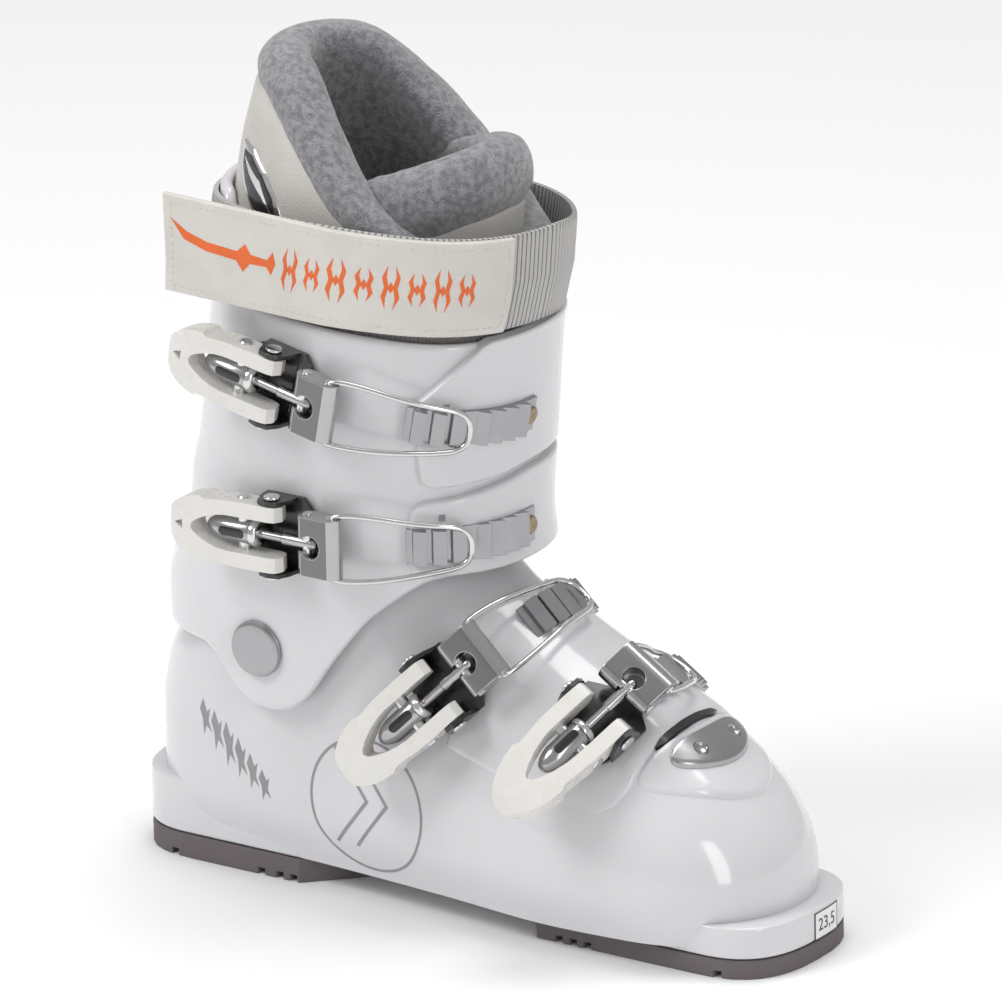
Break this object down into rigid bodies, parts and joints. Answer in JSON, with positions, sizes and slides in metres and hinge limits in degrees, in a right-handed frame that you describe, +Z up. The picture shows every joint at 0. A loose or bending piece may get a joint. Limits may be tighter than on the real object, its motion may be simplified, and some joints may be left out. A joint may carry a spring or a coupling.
{
  "type": "alpine ski boot",
  "caption": "Right-foot alpine ski boot: rigid shell and hinged cuff with toothed ladder buckles on the outer side, power strap and padded liner.",
  "frame": {"origin": "middle of the heel pad's bottom face, on the ground and in the boot's middle plane", "axes": "+X towards the toe, +Y towards the inner side of the foot, +Z up; the buckles are on the -Y side"},
  "size_m": [0.274, 0.1209, 0.308],
  "materials": {
    "shell_plastic": "glossy white moulded polyether shell plastic",
    "lever_plastic": "warm white moulded plastic, slightly less glossy than the shell",
    "black_plastic": "glossy black moulded plastic",
    "sole_rubber": "matt brown-grey sole rubber",
    "board_foam": "moulded foam board",
    "liner_leather": "cream synthetic leather, fine grain",
    "strap_leather": "cream coated strap panel with a stitched edge",
    "strap_webbing": "grey-white woven webbing",
    "fleece": "mottled grey fleece lining",
    "silver_metal": "satin silver discs and plate",
    "ladder_metal": "satin silver-grey die-cast ladder",
    "barrel_metal": "bright silver barrel",
    "dark_steel": "brushed dark steel sheet",
    "chrome": "bright chrome-plated wire and rivets",
    "bronze": "bronze-coloured rivet"
  },
  "bodies": {
    "shell": {"lower_shell": "shell_plastic", "toe_pad": "sole_rubber", "heel_pad": "sole_rubber", "toe_plate": "silver_metal", "boot_board": "board_foam", "liner_foot": "liner_leather", "footbed": "fleece", "pivot_outer": "silver_metal", "pivot_inner": "silver_metal", "buckle3_base": "black_plastic", "buckle3_lower_pin": "chrome", "buckle3_upper_pin": "chrome", "buckle3_ladder": "ladder_metal", "buckle3_ladder_rivet": "bronze", "buckle4_base": "black_plastic", "buckle4_lower_pin": "chrome", "buckle4_upper_pin": "chrome", "buckle4_ladder": "ladder_metal", "buckle4_ladder_rivet": "bronze"},
    "cuff": {"cuff": "shell_plastic", "liner_cuff": "liner_leather", "liner_tongue": "liner_leather", "strap_webbing": "strap_webbing", "strap_panel": "strap_leather", "buckle1_base": "black_plastic", "buckle1_lower_pin": "chrome", "buckle1_upper_pin": "chrome", "buckle1_ladder": "ladder_metal", "buckle1_ladder_rivet": "bronze", "buckle2_base": "black_plastic", "buckle2_lower_pin": "chrome", "buckle2_upper_pin": "chrome", "buckle2_ladder": "ladder_metal", "buckle2_ladder_rivet": "bronze"},
    "buckle1_lever_body": {"buckle1_lever": "lever_plastic"},
    "buckle1_barrel_body": {"buckle1_barrel": "barrel_metal"},
    "buckle1_block_body": {"buckle1_block": "dark_steel"},
    "buckle1_bail_body": {"buckle1_bail": "chrome"},
    "buckle2_lever_body": {"buckle2_lever": "lever_plastic"},
    "buckle2_barrel_body": {"buckle2_barrel": "barrel_metal"},
    "buckle2_block_body": {"buckle2_block": "dark_steel"},
    "buckle2_bail_body": {"buckle2_bail": "chrome"},
    "buckle3_lever_body": {"buckle3_lever": "lever_plastic"},
    "buckle3_barrel_body": {"buckle3_barrel": "barrel_metal"},
    "buckle3_block_body": {"buckle3_block": "dark_steel"},
    "buckle3_bail_body": {"buckle3_bail": "chrome"},
    "buckle4_lever_body": {"buckle4_lever": "lever_plastic"},
    "buckle4_barrel_body": {"buckle4_barrel": "barrel_metal"},
    "buckle4_block_body": {"buckle4_block": "dark_steel"},
    "buckle4_bail_body": {"buckle4_bail": "chrome"}
  },
  "joints": [
    {"name": "cuff_flex", "type": "hinge", "parent": "shell", "child": "cuff", "pos_m": [0.032, 0, 0.092], "axis": [0, 1, 0], "range_deg": [0, 5], "stiffness_Nm_per_rad": 140},
    {"name": "buckle1_lever_hinge", "type": "hinge", "parent": "cuff", "child": "buckle1_lever_body", "pos_m": [0.0483, -0.05928, 0.19561], "axis": [0.1908, 0, 0.9816], "range_deg": [0, 120]},
    {"name": "buckle1_barrel_hinge", "type": "hinge", "parent": "buckle1_lever_body", "child": "buckle1_barrel_body", "pos_m": [0.03607, -0.05789, 0.19798], "axis": [0.1908, 0, 0.9816], "range_deg": [-138, 0]},
    {"name": "buckle1_micro_adjust", "type": "slide", "parent": "buckle1_barrel_body", "child": "buckle1_block_body", "axis": [0.9809, -0.039, -0.1907], "range_m": [0, 0.0025]},
    {"name": "buckle1_bail_hinge", "type": "hinge", "parent": "buckle1_block_body", "child": "buckle1_bail_body", "pos_m": [0.07217, -0.05932, 0.19097], "axis": [-0.1908, 0, -0.9816], "range_deg": [0, 60]},
    {"name": "buckle2_lever_hinge", "type": "hinge", "parent": "cuff", "child": "buckle2_lever_body", "pos_m": [0.04776, -0.05825, 0.1398], "axis": [0, 0, 1], "range_deg": [0, 120]},
    {"name": "buckle2_barrel_hinge", "type": "hinge", "parent": "buckle2_lever_body", "child": "buckle2_barrel_body", "pos_m": [0.03526, -0.05731, 0.1398], "axis": [0, 0, 1], "range_deg": [-138, 0]},
    {"name": "buckle2_micro_adjust", "type": "slide", "parent": "buckle2_barrel_body", "child": "buckle2_block_body", "axis": [1, -0.0038, 0], "range_m": [0, 0.0025]},
    {"name": "buckle2_bail_hinge", "type": "hinge", "parent": "buckle2_block_body", "child": "buckle2_bail_body", "pos_m": [0.07206, -0.05745, 0.1398], "axis": [0, 0, -1], "range_deg": [0, 60]},
    {"name": "buckle3_lever_hinge", "type": "hinge", "parent": "shell", "child": "buckle3_lever_body", "pos_m": [0.10691, -0.04628, 0.08891], "axis": [-0.7193, 0, 0.6947], "range_deg": [0, 100]},
    {"name": "buckle3_barrel_hinge", "type": "hinge", "parent": "buckle3_lever_body", "child": "buckle3_barrel_body", "pos_m": [0.09833, -0.04844, 0.08003], "axis": [-0.7193, 0, 0.6947], "range_deg": [-155, 0]},
    {"name": "buckle3_micro_adjust", "type": "slide", "parent": "buckle3_barrel_body", "child": "buckle3_block_body", "axis": [0.6739, 0.2424, 0.6979], "range_m": [0, 0.0025]},
    {"name": "buckle3_bail_hinge", "type": "hinge", "parent": "buckle3_block_body", "child": "buckle3_bail_body", "pos_m": [0.12313, -0.03952, 0.10571], "axis": [0.7193, 0, -0.6947], "range_deg": [0, 60]},
    {"name": "buckle4_lever_hinge", "type": "hinge", "parent": "shell", "child": "buckle4_lever_body", "pos_m": [0.16776, -0.0346, 0.08862], "axis": [-0.8387, 0, 0.5446], "range_deg": [0, 120]},
    {"name": "buckle4_barrel_hinge", "type": "hinge", "parent": "buckle4_lever_body", "child": "buckle4_barrel_body", "pos_m": [0.16305, -0.04369, 0.08138], "axis": [-0.8387, 0, 0.5446], "range_deg": [-138, 0]},
    {"name": "buckle4_micro_adjust", "type": "slide", "parent": "buckle4_barrel_body", "child": "buckle4_block_body", "axis": [0.3459, 0.7725, 0.5326], "range_m": [0, 0.0025]},
    {"name": "buckle4_bail_hinge", "type": "hinge", "parent": "buckle4_block_body", "child": "buckle4_bail_body", "pos_m": [0.17578, -0.01526, 0.10098], "axis": [0.8387, 0, -0.5446], "range_deg": [0, 60]}
  ],
  "couplings": [
    {"joint": "buckle1_barrel_hinge", "follows": "buckle1_lever_hinge", "ratio": -1.15},
    {"joint": "buckle2_barrel_hinge", "follows": "buckle2_lever_hinge", "ratio": -1.15},
    {"joint": "buckle3_barrel_hinge", "follows": "buckle3_lever_hinge", "ratio": -1.55},
    {"joint": "buckle4_barrel_hinge", "follows": "buckle4_lever_hinge", "ratio": -1.15}
  ]
}
